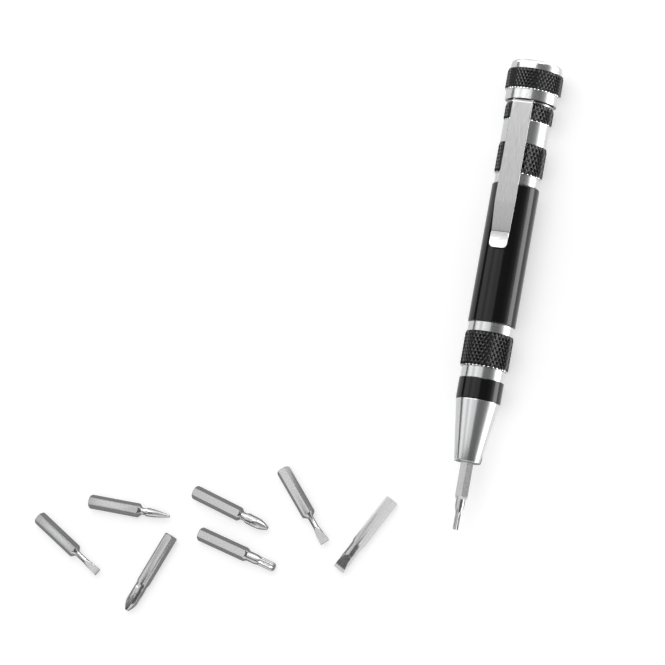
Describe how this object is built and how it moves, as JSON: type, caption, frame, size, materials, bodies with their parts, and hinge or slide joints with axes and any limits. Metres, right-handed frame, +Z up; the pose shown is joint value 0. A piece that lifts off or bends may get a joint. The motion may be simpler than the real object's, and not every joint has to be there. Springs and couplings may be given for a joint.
{
  "type": "pocket screwdriver",
  "caption": "Pocket screwdriver with a knurled magazine barrel, screw cap, pocket clip, magnetic hex bit socket in the nose and loose hex bits lying beside it.",
  "frame": {"origin": "centre of the bit socket's mouth in the nose, on the barrel's axis", "axes": "+Y along the barrel's axis from the tip to the cap, +Z up through the middle of the pocket clip, away from the surface that the screwdriver lies on"},
  "size_m": [0.1527, 0.1919, 0.018],
  "materials": {
    "black_aluminium": "black anodised, glossy, with diamond-cut bright bands",
    "bright_aluminium": "fine turned, bright",
    "clip_steel": "satin nickel plated spring steel",
    "socket_steel": "plain steel",
    "bit_steel": "satin nickel plated",
    "magnet": "nickel plated magnet",
    "washer_plastic": "matt black",
    "seal_rubber": "matt black rubber"
  },
  "bodies": {
    "barrel": {"barrel": "black_aluminium", "nose_cone": "bright_aluminium", "bit_socket": "socket_steel", "socket_magnet": "magnet"},
    "clip": {"clip_ring": "clip_steel"},
    "clip_arm": {"clip_arm": "clip_steel"},
    "washer": {"cap_washer": "washer_plastic"},
    "seal": {"cap_seal": "seal_rubber"},
    "cap": {"cap": "black_aluminium", "cap_pad": "seal_rubber"},
    "star_bit": {"star_bit": "bit_steel"},
    "small_cross_bit": {"small_cross_bit": "bit_steel"},
    "medium_cross_bit": {"medium_cross_bit": "bit_steel"},
    "large_cross_bit": {"large_cross_bit": "bit_steel"},
    "narrow_slot_bit": {"narrow_slot_bit": "bit_steel"},
    "medium_slot_bit": {"medium_slot_bit": "bit_steel"},
    "wide_slot_bit": {"wide_slot_bit": "bit_steel"},
    "large_star_bit": {"large_star_bit": "bit_steel"}
  },
  "joints": [
    {"name": "bit_pull", "type": "slide", "parent": "barrel", "child": "star_bit", "axis": [0, -1, 0], "range_m": [0, 0.03]},
    {"name": "clip_swivel", "type": "hinge", "parent": "barrel", "child": "clip", "pos_m": [0, 0.11576, 0], "axis": [0, 1, 0], "continuous": true},
    {"name": "clip_flex", "type": "hinge", "parent": "clip", "child": "clip_arm", "pos_m": [0, 0.10923, 0.009], "axis": [-1, 0, 0], "range_deg": [0, 4], "stiffness_Nm_per_rad": 0.3},
    {"name": "cap_lift", "type": "slide", "parent": "barrel", "child": "washer", "axis": [0, 1, 0], "range_m": [0, 0.03]},
    {"name": "cap_travel", "type": "slide", "parent": "washer", "child": "seal", "axis": [0, 1, 0], "range_m": [0, 0.006]},
    {"name": "cap_turn", "type": "hinge", "parent": "seal", "child": "cap", "pos_m": [0, 0.11634, 0], "axis": [0, 1, 0], "range_deg": [0, 2880.5]},
    {"name": "small_cross_lift", "type": "slide", "parent": "barrel", "child": "small_cross_bit", "axis": [0, 0, 1], "range_m": [0, 0.03]},
    {"name": "medium_cross_lift", "type": "slide", "parent": "barrel", "child": "medium_cross_bit", "axis": [0, 0, 1], "range_m": [0, 0.03]},
    {"name": "large_cross_lift", "type": "slide", "parent": "barrel", "child": "large_cross_bit", "axis": [0, 0, 1], "range_m": [0, 0.03]},
    {"name": "narrow_slot_lift", "type": "slide", "parent": "barrel", "child": "narrow_slot_bit", "axis": [0, 0, 1], "range_m": [0, 0.03]},
    {"name": "medium_slot_lift", "type": "slide", "parent": "barrel", "child": "medium_slot_bit", "axis": [0, 0, 1], "range_m": [0, 0.03]},
    {"name": "wide_slot_lift", "type": "slide", "parent": "barrel", "child": "wide_slot_bit", "axis": [0, 0, 1], "range_m": [0, 0.03]},
    {"name": "large_star_lift", "type": "slide", "parent": "barrel", "child": "large_star_bit", "axis": [0, 0, 1], "range_m": [0, 0.03]}
  ],
  "couplings": [
    {"joint": "cap_turn", "follows": "cap_travel", "rad_per_m": 8377.6}
  ]
}
